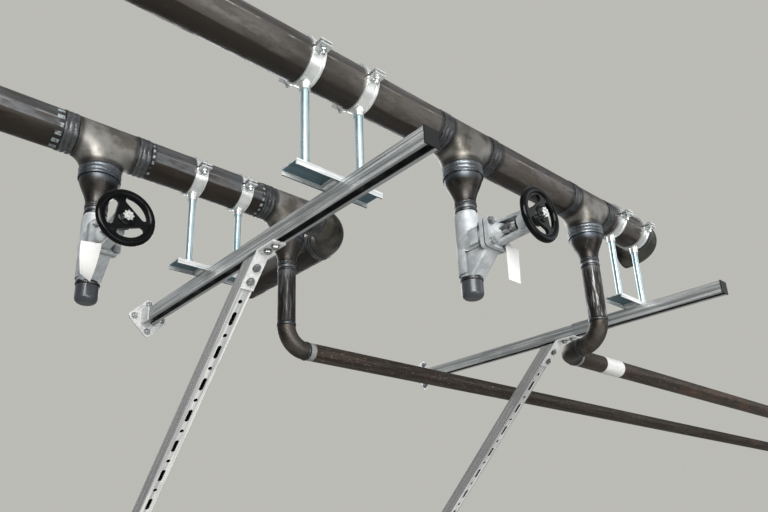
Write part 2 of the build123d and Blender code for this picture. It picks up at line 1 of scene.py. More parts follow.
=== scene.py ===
# %% [markdown]
# # A wall-bracket pipe bridge
# Two dark welded headers lie side by side on rods, and the rods stand on two braced channel
# rails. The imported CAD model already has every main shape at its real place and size. This
# notebook gives each part its finish and adds what is too small for the CAD: weld beads,
# bolts, anchors, the clamps' screws and a wrap of tape. It could also model the pipes again,
# but then they would no longer be sure to match the solids that move in the physics.

# %% Load the frame
import math

import bmesh
import bpy
from mathutils import Matrix, Vector, noise as field


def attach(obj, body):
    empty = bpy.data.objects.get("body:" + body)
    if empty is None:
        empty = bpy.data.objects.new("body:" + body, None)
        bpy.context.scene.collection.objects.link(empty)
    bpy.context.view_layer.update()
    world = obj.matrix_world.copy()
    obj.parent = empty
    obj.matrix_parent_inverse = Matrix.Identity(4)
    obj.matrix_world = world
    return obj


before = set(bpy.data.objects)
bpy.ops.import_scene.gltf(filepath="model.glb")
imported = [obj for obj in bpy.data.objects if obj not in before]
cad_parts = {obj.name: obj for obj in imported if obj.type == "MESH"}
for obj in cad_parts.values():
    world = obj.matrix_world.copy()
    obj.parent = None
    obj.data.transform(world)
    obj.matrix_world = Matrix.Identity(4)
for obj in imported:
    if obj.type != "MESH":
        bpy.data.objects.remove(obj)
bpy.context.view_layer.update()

print("CAD nodes:", len(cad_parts))

# %% [markdown]
# Finishes and small pieces are placed by the measures of the pipework itself: the height of
# the headers above the rails, how far out each one lies, and where the tees sit on them. They
# could be read from each node's box, but a seam or a bend lies inside its node, where the box
# says nothing. So the few measures that matter are written down once.

# %% Where the headers lie
MM = 0.001
HEADER_Z = 337 * MM
HEADER_R = 57.15 * MM
REAR_Y = -428.5 * MM
FRONT_Y = -1070 * MM
REAR_TEES = (-350 * MM, 293.5 * MM)
FRONT_TEES = (465 * MM, 1098 * MM)
TEE_REACH = 105 * MM
print("headers above the rails:", HEADER_Z, "m; tees at", REAR_TEES + FRONT_TEES)

# %% [markdown]
# A finish is a web of shader nodes. It could be drawn by hand in the editor, or written out
# link by link, but both are long and hard to read. Here a small class wraps one output of a
# node: plain arithmetic on it adds the Math nodes, so a finish reads like a formula.

# %% Shader values that can be added and multiplied
class Wire:
    """One output of a shader node."""

    def __init__(self, web, socket):
        self.web = web
        self.socket = socket

    def __add__(self, other):
        return self.web.maths("ADD", self, other)

    def __radd__(self, other):
        return self.web.maths("ADD", other, self)

    def __sub__(self, other):
        return self.web.maths("SUBTRACT", self, other)

    def __rsub__(self, other):
        return self.web.maths("SUBTRACT", other, self)

    def __mul__(self, other):
        return self.web.maths("MULTIPLY", self, other)

    def __rmul__(self, other):
        return self.web.maths("MULTIPLY", other, self)

    def __truediv__(self, other):
        return self.web.maths("DIVIDE", self, other)

    def __abs__(self):
        return self.web.maths("ABSOLUTE", self)


# %% [markdown]
# Any other node comes from one method that takes the node's type, its settings and what goes
# into its sockets. The surround of the scene needs the same method, so it sits in a class of
# its own, and a finish only adds the material and its main shader.

# %% One web of nodes, and one finish
class Web:
    """A tree of shader nodes."""

    def __init__(self, tree):
        self.tree = tree

    def node(self, kind, settings=None, sockets=None, out=0):
        made = self.tree.nodes.new(kind)
        for key, value in (settings or {}).items():
            setattr(made, key, value)
        self.plug(made, sockets or {})
        return Wire(self, made.outputs[out])

    def maths(self, operation, *values):
        return self.node("ShaderNodeMath", {"operation": operation}, dict(enumerate(values)))

    def plug(self, made, sockets):
        for key, value in sockets.items():
            if isinstance(value, Wire):
                self.tree.links.new(value.socket, made.inputs[key])
            else:
                made.inputs[key].default_value = value


class Finish(Web):
    """A material with a principled shader."""

    def __init__(self, name):
        self.material = bpy.data.materials.new(name)
        self.material.use_nodes = True
        super().__init__(self.material.node_tree)
        self.shader = self.tree.nodes["Principled BSDF"]

    def surface(self, **sockets):
        self.plug(self.shader, {key.replace("_", " "): value for key, value in sockets.items()})
        print(self.material.name, len(self.tree.nodes), "nodes")
        return self


# %% [markdown]
# Steel shows its history along its length: rolling, drawing and handling all leave streaks
# that follow the bar. An unwrapped picture could show them, but it would need a seam and would
# blur from near. A noise that is squeezed across the piece and left long along it has neither
# fault. It reads Object coordinates, which here are plain metres. For a bar that leans, the
# coordinates are turned first and squeezed after, each by its own Mapping node, because one
# such node would squeeze before it turns.

# %% Patterns
def along(f, axis):
    """Object coordinate along X, Y or Z."""
    place = f.node("ShaderNodeTexCoord", out="Object")
    return f.node("ShaderNodeSeparateXYZ", {}, {"Vector": place}, axis)


def noise(f, scale, squeeze=(1, 1, 1), turn=(0, 0, 0), detail=5, rough=0.55):
    """Noise on Object coordinates, turned and then squeezed along each axis."""
    place = f.node("ShaderNodeTexCoord", out="Object")
    if any(turn):
        place = f.node("ShaderNodeMapping", {}, {"Vector": place, "Rotation": turn})
    place = f.node("ShaderNodeMapping", {}, {"Vector": place, "Scale": squeeze})
    sockets = {"Vector": place, "Scale": scale, "Detail": detail, "Roughness": rough}
    return f.node("ShaderNodeTexNoise", {}, sockets)


def step(f, value, low, high):
    """0 below low, 1 above high, smooth between."""
    sockets = {"Value": value, "From Min": low, "From Max": high}
    return f.node("ShaderNodeMapRange", {"interpolation_type": "SMOOTHSTEP"}, sockets)


def near(f, value, places, half, soft):
    """1 within half of any of the places, fading over soft."""
    zone = None
    for place in places:
        one = 1 - step(f, abs(value - place), half, half + soft)
        zone = one if zone is None else f.maths("MAXIMUM", one, zone)
    return zone


def bump(f, height, distance, strength=1.0):
    """A surface's small relief, in metres."""
    sockets = {"Height": height, "Distance": distance, "Strength": strength}
    return f.node("ShaderNodeBump", {}, sockets)


# %% [markdown]
# Colours are laid over each other as paint, dirt and rust are: each coat shows where its
# pattern says. One Mix node lays a coat, and a list of coats reads from the metal outwards.

# %% Colours
def rgb(red, green, blue):
    return (red, green, blue, 1.0)


def blend(f, share, first, second):
    """Mixes two colours."""
    return f.node("ShaderNodeMix", {"data_type": "RGBA"}, {0: share, 6: first, 7: second}, 2)


def coats(f, colour, layers):
    """Lays colours over a first one. A layer is its share and its colour."""
    for share, layer in layers:
        colour = blend(f, share, colour, layer)
    return colour


# %% [markdown]
# Header pipe leaves the mill with a thin oxide skin. On these pipes it is grey on the flanks
# and dull brown along the underside, with a wavy border between the two. The brown is partly
# rust and partly painted shade under the pipe, and the bluish grey above is partly a painted
# reflection of a bright room. Above the middle a painted shade makes it darker, with a pale
# line along that edge that is partly rubbed scale and partly a painted highlight. Pale streaks,
# blotches and a few bright specks lie over it all, and the heat of each weld has left a dark
# ring. Two materials on a cut mesh could make the border, but not its waves. Here it follows
# the pipe's own height plus a noise, so it stays put from any side.

# %% Mill scale
STREAKS = {"x": (0.05, 1, 1), "y": (1, 0.05, 1)}
STAIN_STRETCH = 0.35
BORDER_WAVE = 75 * MM
BORDER_SOFT = 3 * MM
CROWN_SHADE_SOFT = 6 * MM
RUB_AND_HIGHLIGHT_LINE = -2 * MM
RUB_AND_HIGHLIGHT_HALF = 1.2 * MM
HEAT_WANDER = 10 * MM
HEAT_HALF = 30 * MM
HEAT_SOFT = 6 * MM


def mill_scale(name, direction, grey, brown, seams, border, marks=()):
    f = Finish(name)
    stretch = [STAIN_STRETCH if share < 1 else 1 for share in STREAKS[direction]]
    streak = noise(f, 60, STREAKS[direction], detail=7, rough=0.62)
    wave = noise(f, 10, STREAKS[direction], detail=7, rough=0.6)
    stain = noise(f, 6, stretch, detail=6)
    mottle = noise(f, 42, stretch, detail=8, rough=0.72)
    ruddy = noise(f, 14, stretch, detail=8, rough=0.68)
    speck = noise(f, 210, detail=2)
    height = along(f, "Z") - HEADER_Z + (wave - 0.5) * BORDER_WAVE
    # The grey share: oxide skin, partly a painted reflection; below the border the brown is
    # rust and painted shade.
    upper = step(f, height, border - BORDER_SOFT, border + BORDER_SOFT)
    blotch = step(f, mottle, 0.44, 0.60)
    # A pale line above the middle: rubbed scale and a painted highlight.
    rub_and_highlight = near(f, height, [RUB_AND_HIGHLIGHT_LINE], RUB_AND_HIGHLIGHT_HALF, BORDER_SOFT) * blotch
    run = along(f, direction.upper()) + (stain - 0.5) * HEAT_WANDER
    skin = coats(f, blend(f, upper, brown, grey), [
        # Painted shade darkens the crown above the middle.
        (step(f, height, 0.0, CROWN_SHADE_SOFT) * 0.55, rgb(0.030, 0.031, 0.033)),
        (step(f, streak, 0.50, 0.70) * (upper * 0.27 + 0.05), rgb(0.115, 0.108, 0.100)),
        (blotch * 0.55, rgb(0.027, 0.022, 0.018)),
        (step(f, stain, 0.50, 0.62) * 0.6, rgb(0.024, 0.020, 0.016)),
        (step(f, ruddy, 0.54, 0.72) * 0.35, rgb(0.072, 0.042, 0.022)),
        (rub_and_highlight * 0.5, rgb(0.36, 0.35, 0.34)),
        (near(f, run, seams, HEAT_HALF, HEAT_SOFT) * 0.75, rgb(0.016, 0.015, 0.016)),
        (step(f, speck, 0.72, 0.78) * 0.35, rgb(0.32, 0.31, 0.29)),
    ])
    if marks:
        skin = blend(f, ground_marks(f, marks) * 0.75, skin, rgb(0.46, 0.52, 0.54))
    return f.surface(
        Base_Color=skin,
        Metallic=0.35,
        Roughness=0.34 + blotch * 0.26,
        Normal=bump(f, streak + speck * 0.4, 0.10 * MM),
    )


# %% [markdown]
# The rear header has rows of short bright marks round it, where the pipe was ground clean
# before welding. They could be small decals, but each would need its place by hand. A row is
# a sine of the angle round the pipe, cut to a few millimetres and broken up by noise.

# %% Ground marks on the rear header
def ground_marks(f, marks):
    side = along(f, "Y") - REAR_Y
    angle = f.maths("ARCTAN2", along(f, "Z") - HEADER_Z, side)
    rows = None
    for place, half, count in marks:
        dash = step(f, f.maths("SINE", angle * count), -0.10, 0.15)
        row = dash * near(f, along(f, "X"), [place], half, 1 * MM)
        rows = row if rows is None else rows + row
    return rows * step(f, noise(f, 55), 0.38, 0.56)


# A row's place along the header, half its width, and how many marks it has.
GROUND_ROWS = [(-487 * MM, 9 * MM, 15), (-219 * MM, 3 * MM, 19), (162 * MM, 4 * MM, 18)]
print("rows of ground marks:", len(GROUND_ROWS))

# %% [markdown]
# The headers and the wall pipe were cut from different lengths of pipe. One finish could
# serve them all, but each has its own grey and border and is dark at its own seams.

# %% Finishes of the headers
REAR_SEAMS = [x + side * TEE_REACH for x in REAR_TEES for side in (-1, 1)]
FRONT_SEAMS = [x + side * TEE_REACH for x in FRONT_TEES for side in (-1, 1)]
REAR_TURN_Y = -276.1 * MM
FRONT_BEND_X = 1477.7 * MM
BORDER_Z = -30 * MM
FRONT_BORDER_Z = -48 * MM
BROWN_SKIN_AND_SHADE = rgb(0.017, 0.011, 0.006)

rear_header_finish = mill_scale(
    "rear_header_scale", "x", rgb(0.122, 0.125, 0.132), BROWN_SKIN_AND_SHADE,
    REAR_SEAMS, BORDER_Z, GROUND_ROWS,
)
front_header_finish = mill_scale(
    "front_header_scale", "x", rgb(0.086, 0.078, 0.071), rgb(0.020, 0.014, 0.009),
    FRONT_SEAMS + [FRONT_BEND_X], FRONT_BORDER_Z,
)
wall_pipe_finish = mill_scale(
    "wall_pipe_scale", "y", rgb(0.120, 0.108, 0.090), BROWN_SKIN_AND_SHADE, [REAR_TURN_Y], BORDER_Z,
)
print("seams along the headers:", len(REAR_SEAMS), len(FRONT_SEAMS) + 1)

# %% [markdown]
# Tees and elbows are forged and shot-blasted before they are sold, so their grey is warmer
# than the pipe's and has a soft sheen, and the tees are much lighter too. Fine smears run
# down them, and the heat of welding has darkened the tees next to each seam. Vertex colours
# could hold the dark ends, but the seams' places are known, so the distance from a seam does
# it with nothing to store.

# %% Fittings
UNDER_TEE_Z = HEADER_Z - TEE_REACH
FITTING_WANDER = 14 * MM
FITTING_HEAT = 26 * MM
FITTING_HEAT_SOFT = 12 * MM


def fitting_steel(name, light, dark, seams, gloss):
    f = Finish(name)
    cloud = noise(f, 12, detail=7, rough=0.62)
    grain = noise(f, 190, detail=3)
    smear = noise(f, 40, (1, 1, 0.3), detail=7, rough=0.7)
    shift = (cloud - 0.5) * FITTING_WANDER
    heats = [
        (near(f, along(f, axis) + shift, places, FITTING_HEAT, FITTING_HEAT_SOFT) * 0.8,
         rgb(0.030, 0.028, 0.027))
        for axis, places in seams.items()
    ]
    colour = coats(f, blend(f, step(f, cloud, 0.40, 0.62), light, dark), [
        (step(f, smear, 0.55, 0.75) * 0.5, light),
        *heats,
    ])
    return f.surface(
        Base_Color=colour,
        Metallic=0.85,
        Roughness=gloss + cloud * 0.14,
        Normal=bump(f, grain + cloud * 2, 0.2 * MM),
    )


rear_tee_finish = fitting_steel(
    "rear_tee_steel", rgb(0.30, 0.29, 0.27), rgb(0.125, 0.114, 0.098),
    {"X": REAR_SEAMS, "Z": [UNDER_TEE_Z]}, 0.38,
)
front_tee_finish = fitting_steel(
    "front_tee_steel", rgb(0.235, 0.225, 0.205), rgb(0.090, 0.081, 0.068),
    {"X": FRONT_SEAMS, "Z": [UNDER_TEE_Z]}, 0.32,
)
elbow_finish = fitting_steel(
    "elbow_steel", rgb(0.115, 0.110, 0.092), rgb(0.030, 0.027, 0.020), {}, 0.32
)
bend_finish = fitting_steel(
    "branch_bend_steel", rgb(0.090, 0.080, 0.070), rgb(0.034, 0.029, 0.024), {}, 0.38
)

# %% [markdown]
# A reducer is darker than the tee above it, and its upper end keeps the silver-blue temper
# colours of the weld, partly brightened there as a painted highlight. Under it a short straight
# end is brushed bright. The three zones could be three meshes, but they are one piece of CAD,
# which isn't changed here. So the finish changes with height, and noise makes each border
# uneven.

# %% Reducers
TEMPER_HIGHLIGHT_WANDER = 30 * MM
TEMPER_HIGHLIGHT_FROM, TEMPER_HIGHLIGHT_TO = 194 * MM, 214 * MM
RIM_WANDER = 10 * MM
RIM_FROM, RIM_TO = 212 * MM, 218 * MM
PUP_FROM, PUP_TO = 128 * MM, 134 * MM


def reducer_steel():
    f = Finish("reducer_steel")
    z = along(f, "Z")
    cloud = noise(f, 16, detail=6)
    fine = noise(f, 90, (1, 1, 0.25), detail=6, rough=0.65)
    little = z + (cloud - 0.5) * RIM_WANDER
    body = blend(
        f, step(f, cloud, 0.40, 0.62), rgb(0.050, 0.046, 0.042), rgb(0.018, 0.016, 0.014)
    )
    # Silver-blue band at the upper end: temper colour and a painted highlight.
    temper_and_highlight = step(f, z + (cloud - 0.5) * TEMPER_HIGHLIGHT_WANDER, TEMPER_HIGHLIGHT_FROM, TEMPER_HIGHLIGHT_TO)
    body = coats(f, body, [
        (temper_and_highlight * 0.7, rgb(0.100, 0.115, 0.132)),
        (step(f, little, RIM_FROM, RIM_TO) * 0.8, rgb(0.045, 0.050, 0.060)),
        ((1 - step(f, little, PUP_FROM, PUP_TO)) * 0.85, rgb(0.185, 0.195, 0.205)),
        (step(f, fine, 0.58, 0.76) * 0.35, rgb(0.32, 0.33, 0.34)),
    ])
    return f.surface(
        Base_Color=body,
        Metallic=0.85,
        Roughness=0.30 + fine * 0.15,
        Normal=bump(f, fine, 0.2 * MM),
    )


reducer_finish = reducer_steel()

# %% [markdown]
# The drop pipes are near black, with scratches that run down them, bright on the front one
# and faint on the rear one. Where the joint above was cleaned they are paler. Scratches
# could be cut into the mesh, but they are hair-thin, so a noise that is stretched along the
# pipe and cut off sharply stands for them.

# %% Drop pipes
CLEAN_WANDER = 50 * MM
CLEAN_FROM, CLEAN_TO = 76 * MM, 100 * MM


def drop_steel(name, scratched):
    f = Finish(name)
    scratch = noise(f, 150, (1, 1, 0.07), rough=0.62)
    cloud = noise(f, 14, (1, 1, 0.5))
    clean = step(f, along(f, "Z") + (cloud - 0.5) * CLEAN_WANDER, CLEAN_FROM, CLEAN_TO)
    bare = step(f, scratch + (cloud - 0.5) * 0.35, 0.52, 0.60)
    scale = blend(
        f, step(f, cloud, 0.35, 0.7), rgb(0.030, 0.027, 0.024), rgb(0.011, 0.010, 0.009)
    )
    return f.surface(
        Base_Color=coats(f, scale, [
            (bare * scratched, rgb(0.36, 0.365, 0.37)),
            (clean * 0.6, rgb(0.120, 0.126, 0.132)),
        ]),
        Metallic=0.7,
        Roughness=0.36 + scratch * 0.2,
        Normal=bump(f, scratch, 0.2 * MM),
    )


rear_drop_finish = drop_steel("rear_drop_steel", 0.25)
front_drop_finish = drop_steel("front_drop_steel", 0.8)

# %% [markdown]
# The run pipes are older stock: brown rust over scale, with small pale flakes where it has
# chipped. The front one turns redder towards its far end, and each has a bare band beside its
# first weld. Rust could be a second mesh laid over the pipe, but it is thinner than paper, so
# it is a coat of colour that is also duller and less metallic.

# %% Run pipes
BARE_WANDER = 10 * MM
BARE_SOFT = 2 * MM


def rusty_pipe(name, red, bare):
    """The pipe turns red between two places along X, and is bare between two others."""
    f = Finish(name)
    x = along(f, "X")
    streak = noise(f, 85, (0.04, 1, 1), detail=7, rough=0.65)
    patch = noise(f, 9, (0.45, 1, 1), detail=7, rough=0.65)
    flake = noise(f, 300, (0.3, 1, 1), detail=3)
    rust = step(f, patch + step(f, x, *red) * 0.14, 0.52, 0.68)
    middle, half = sum(bare) / 2, (bare[1] - bare[0]) / 2
    band = near(f, x + (streak - 0.5) * BARE_WANDER, [middle], half, BARE_SOFT)
    scale = blend(
        f, step(f, streak, 0.42, 0.60), rgb(0.017, 0.012, 0.008), rgb(0.046, 0.034, 0.024)
    )
    return f.surface(
        Base_Color=coats(f, scale, [
            (rust * 0.75, rgb(0.066, 0.031, 0.015)),
            (step(f, flake, 0.63, 0.70) * 0.65, rgb(0.40, 0.32, 0.24)),
            (band * 0.85, rgb(0.33, 0.33, 0.32)),
        ]),
        Metallic=0.35 - rust * 0.25,
        Roughness=0.42 + patch * 0.25,
        Normal=bump(f, streak + flake * 0.5, 0.3 * MM),
    )


rear_run_finish = rusty_pipe("rear_run_rust", (3.0, 5.0), (377 * MM, 396 * MM))
front_run_finish = rusty_pipe("front_run_rust", (1.6, 2.6), (1182 * MM, 1192 * MM))

# %% [markdown]
# Galvanised channel is dipped in zinc: pale grey with a faint crystal pattern, long bright
# streaks from rolling and duller patches. The insides of the rails and braces are painted near
# black as shade, and the flanks of the braces and the undersides of the cross channels are
# painted darker than their faces as shade, the undersides with a teal tint. A material for
# each face could show that, but a CAD node's mesh isn't split. So a box round the channel's
# middle line marks the inside, the distance from that line marks the flanks, and the way that
# a face points marks the undersides. Rails lie along Y and braces lean at 45 degrees, so the
# braces' pattern is turned with them.

# %% Galvanised steel
BAY = 1366 * MM
RAIL_MIDDLES = (0, BAY)
INSIDE_HALF = 18 * MM
INSIDE_DEPTH = 17.8 * MM
INSIDE_SOFT = 0.4 * MM
FLANK_FROM = 19.3 * MM
FLANK_SOFT = 0.3 * MM


def galvanised(
    name, pale, dull, squeeze, turn=(0, 0, 0), metal=0.7, inside=None, flank_shade=None, under_shade=None
):
    f = Finish(name)
    streak = noise(f, 110, squeeze, turn, detail=4)
    patch = noise(f, 7, turn=turn)
    place = f.node("ShaderNodeTexCoord", out="Object")
    cells = {"Vector": place, "Scale": 210.0}
    crystal = f.node("ShaderNodeTexVoronoi", {"feature": "F1"}, cells, "Color")
    spangle = f.node("ShaderNodeSeparateColor", {}, {"Color": crystal}, 0)
    colour = coats(f, blend(f, step(f, streak, 0.40, 0.60), dull, pale), [
        (step(f, patch, 0.50, 0.66) * 0.4, dull),
        (spangle * 0.07, rgb(0.30, 0.33, 0.345)),
    ])
    if inside:
        across, depth = inside(f)
        # Painted shade: the channel's inside is nearly black and not metallic.
        inside_shade = near(f, across, RAIL_MIDDLES, INSIDE_HALF, INSIDE_SOFT)
        inside_shade = inside_shade * near(f, depth, [0], INSIDE_DEPTH, INSIDE_SOFT)
        colour = blend(f, inside_shade * 0.97, colour, rgb(0.010, 0.011, 0.010))
        metal = metal - inside_shade * metal
        if flank_shade:
            # Painted shade on the flanks of the braces.
            flank_shade_mask = 1 - near(f, across, RAIL_MIDDLES, FLANK_FROM, FLANK_SOFT)
            colour = blend(f, flank_shade_mask * 0.8, colour, flank_shade)
    # Painted shade, tinted teal, on faces that point down.
    if under_shade:
        normal = f.node("ShaderNodeNewGeometry", out="Normal")
        rise = f.node("ShaderNodeSeparateXYZ", {}, {"Vector": normal}, "Z")
        colour = blend(f, (1 - step(f, rise, -0.8, -0.5)) * 0.9, colour, under_shade)
    return f.surface(
        Base_Color=colour,
        Metallic=metal,
        Roughness=0.34 + spangle * 0.05 + patch * 0.10,
        Normal=bump(f, streak + spangle * 0.08, 0.08 * MM),
    )


# %% [markdown]
# The galvanised parts differ in tone, from the grey sleeve to the nearly white plates. Each
# could be a finish from scratch, but one function with a few settings keeps them related.

# %% Rails, braces, cross channels and plates
LEAN = (math.radians(-45), 0, 0)
BRACE_LINE = -520.4 * MM


def inside_rail(f):
    """How far a point is across the rail, and above its middle line."""
    return along(f, "X"), along(f, "Z")


def inside_brace(f):
    """The same for a brace, which leans."""
    return along(f, "X"), (along(f, "Y") + along(f, "Z")) / math.sqrt(2) - BRACE_LINE


rail_finish = galvanised(
    "rail_galvanised", rgb(0.66, 0.68, 0.68), rgb(0.30, 0.315, 0.32), (1, 0.02, 1),
    metal=0.6, inside=inside_rail,
)
sleeve_finish = galvanised(
    "sleeve_galvanised", rgb(0.52, 0.545, 0.56), rgb(0.32, 0.335, 0.345), (1, 0.02, 1)
)
brace_finish = galvanised(
    "brace_galvanised", rgb(0.92, 0.92, 0.89), rgb(0.50, 0.51, 0.51), (1, 1, 0.02), LEAN,
    metal=0.35, inside=inside_brace, flank_shade=rgb(0.26, 0.265, 0.265),
)
cross_finish = galvanised(
    "cross_channel_galvanised", rgb(0.84, 0.85, 0.84), rgb(0.50, 0.54, 0.55), (0.05, 1, 1),
    metal=0.5, under_shade=rgb(0.014, 0.080, 0.110),
)
plate_finish = galvanised(
    "plate_zinc", rgb(0.93, 0.93, 0.92), rgb(0.72, 0.74, 0.74), (1, 1, 1), metal=0.2
)
print("dark insides lie round x =", RAIL_MIDDLES)

# %% [markdown]
# The rods and band clamps are bright zinc plate, which mirrors its surroundings softly. The
# rods keep the cold blue-green tint of the bath, and the clamps are nearly white. Fine brush
# lines run round each band and down each rod. Real grooves would take millions of faces, so
# a bump of a few hundredths of a millimetre stands for them.

# %% Zinc plate
def zinc_plate(name, tint, shade, squeeze, gloss, metal=0.85):
    f = Finish(name)
    brush = noise(f, 420, squeeze, detail=4, rough=0.6)
    cloud = noise(f, 22, detail=4)
    colour = blend(f, step(f, cloud, 0.35, 0.70), tint, shade)
    return f.surface(
        Base_Color=blend(f, step(f, brush, 0.55, 0.72) * 0.35, colour, rgb(0.92, 0.94, 0.94)),
        Metallic=metal,
        Roughness=gloss + brush * 0.14,
        Normal=bump(f, brush, 0.06 * MM),
    )


stem_finish = zinc_plate(
    "stem_zinc", rgb(0.66, 0.81, 0.85), rgb(0.50, 0.68, 0.74), (1, 1, 0.01), 0.22, 0.90
)
clamp_finish = zinc_plate(
    "clamp_zinc", rgb(0.95, 0.96, 0.95), rgb(0.74, 0.77, 0.77), (1, 0.12, 0.12), 0.25, 0.82
)
screw_finish = zinc_plate(
    "screw_zinc", rgb(0.74, 0.76, 0.75), rgb(0.40, 0.43, 0.44), (1, 1, 1), 0.26
)
dark_screw_finish = zinc_plate(
    "dark_screw_zinc", rgb(0.42, 0.43, 0.43), rgb(0.16, 0.165, 0.17), (1, 1, 1), 0.28
)

# %% [markdown]
# The valves are cast and painted silver-grey. The casting sand leaves a fine grain under the
# paint. Where faces meet, the creases are painted dark as shade, with a little grime mixed in.
# The shade could be painted by hand, but the Ambient Occlusion node finds those creases by
# itself. A thin dark line between the two flanges is the edge of the gasket.

# %% Valve paint
VALVES = {"rear": (REAR_TEES[0], REAR_Y), "front": (FRONT_TEES[0], FRONT_Y)}
VALVE_Z = 3 * MM
GASKET_OUT = 89 * MM
GASKET_HALF = 1.4 * MM
GASKET_SOFT = 0.3 * MM
CREASE_SHADE_REACH = 16 * MM


def valve_paint():
    f = Finish("valve_paint")
    sand = noise(f, 330, detail=3)
    cloud = noise(f, 17, detail=6, rough=0.6)
    grime = noise(f, 60, (1, 1, 0.35), detail=7, rough=0.7)
    reach = {"Distance": CREASE_SHADE_REACH}
    open_sky = f.node("ShaderNodeAmbientOcclusion", {"samples": 6}, reach, "AO")
    # Painted shade in the creases that the occlusion finds, varied by grime.
    crease = (1 - step(f, open_sky, 0.15, 0.80)) * (0.55 + grime * 0.6)
    gaskets = [y - GASKET_OUT for _, y in VALVES.values()]
    gasket = near(f, along(f, "Y"), gaskets, GASKET_HALF, GASKET_SOFT)
    paint = blend(
        f, step(f, cloud, 0.40, 0.64), rgb(0.56, 0.585, 0.60), rgb(0.34, 0.365, 0.38)
    )
    return f.surface(
        Base_Color=coats(f, paint, [
            (step(f, grime, 0.58, 0.76) * 0.5, rgb(0.17, 0.165, 0.16)),
            (crease, rgb(0.060, 0.062, 0.064)),
            (gasket, rgb(0.012, 0.012, 0.013)),
        ]),
        Metallic=0.22,
        Roughness=0.42 + cloud * 0.16,
        Normal=bump(f, sand + cloud, 0.3 * MM),
    )


valve_finish = valve_paint()

# %% [markdown]
# The spindle is turned steel with a coarse thread, and it rises one pitch for each turn of
# the wheel. A modelled helix would be hidden inside the yoke for most of its length, so a
# sine along the spindle makes the ridges as bump.

# %% Spindle
THREAD_PITCH = 5 * MM


def turned_steel():
    f = Finish("spindle_steel")
    thread = f.maths("SINE", along(f, "Y") * (2 * math.pi / THREAD_PITCH))
    wear = noise(f, 140)
    return f.surface(
        Base_Color=blend(
            f, step(f, wear, 0.4, 0.7), rgb(0.68, 0.68, 0.66), rgb(0.30, 0.30, 0.29)
        ),
        Metallic=0.6,
        Roughness=0.25 + wear * 0.15,
        Normal=bump(f, thread, 0.6 * MM, 0.8),
    )


spindle_finish = turned_steel()

# %% [markdown]
# The handwheels are gloss black, and so are the valves' caps and the rails' plastic ends,
# each a little duller than the one before. Only the wheel's lobed nut is left bright. It is
# part of the wheel's mesh, so its finish goes by place: near the spindle's line, and in front
# of the hub. Object coordinates turn with the wheel, so the nut stays bright as it turns.

# %% Black parts
NUT_R, NUT_OUTSIDE = 15 * MM, 15.6 * MM
NUT_FRONT, NUT_BACK = -244.4 * MM, -244.0 * MM
INK = rgb(0.0022, 0.0024, 0.0027)


def gloss_black(name, base, gloss, coat, mirror, valve=None):
    f = Finish(name)
    dust = noise(f, 45, detail=7, rough=0.68)
    scuff = noise(f, 260, (1, 0.3, 1), detail=4)
    colour = coats(f, base, [
        (step(f, dust, 0.58, 0.80) * 0.25, rgb(0.09, 0.09, 0.09)),
        (step(f, scuff, 0.70, 0.78) * 0.3, rgb(0.22, 0.22, 0.22)),
    ])
    bare = 0.0
    if valve:
        x, y = valve
        side = along(f, "X") - x
        lift = along(f, "Z") - VALVE_Z
        reach = f.maths("SQRT", side * side + lift * lift)
        ahead_of_hub = 1 - step(f, along(f, "Y") - y, NUT_FRONT, NUT_BACK)
        bare = (1 - step(f, reach, NUT_R, NUT_OUTSIDE)) * ahead_of_hub
        colour = blend(f, bare, colour, rgb(0.80, 0.81, 0.80))
    return f.surface(
        Base_Color=colour,
        Metallic=bare,
        Roughness=gloss + dust * 0.1,
        Specular_IOR_Level=mirror,
        Coat_Weight=coat,
        Coat_Roughness=0.08,
        Normal=bump(f, dust, 0.12 * MM),
    )


wheel_finishes = {
    name: gloss_black(name + "_wheel_black", INK, 0.08, 0.10, 0.08, valve)
    for name, valve in VALVES.items()
}
cap_finish = gloss_black("cap_black", rgb(0.036, 0.041, 0.048), 0.32, 0.25, 0.5)
plastic_finish = gloss_black("end_cap_plastic", rgb(0.012, 0.012, 0.013), 0.45, 0.0, 0.2)

# %% [markdown]
# The hanging labels are blank coated card, white with a few grey finger marks and a soft
# crease. The tape on the front run pipe is white too, with small wrinkles. Both could be
# plain white, but then they would look like paper cut-outs beside the worn steel.

# %% Card and tape
def white_card(name, white, smudged, crease):
    f = Finish(name)
    smudge = noise(f, 40)
    fold = noise(f, 70, (1, 1, 0.5), detail=3)
    marks = step(f, smudge, 0.58, 0.8) * smudged
    return f.surface(
        Base_Color=blend(f, marks, white, rgb(0.50, 0.49, 0.47)),
        Metallic=0.0,
        Roughness=0.42 + smudge * 0.1,
        Normal=bump(f, fold, crease),
    )


tag_finish = white_card("label_card", rgb(0.74, 0.74, 0.73), 0.35, 0.4 * MM)
tape_finish = white_card("tape", rgb(0.70, 0.70, 0.69), 0.6, 1.0 * MM)

# %% [markdown]
# Each CAD node now takes its finish. Every node could have a material of its own, but parts
# that share a make look alike, so they share a finish, as they would share a shelf.

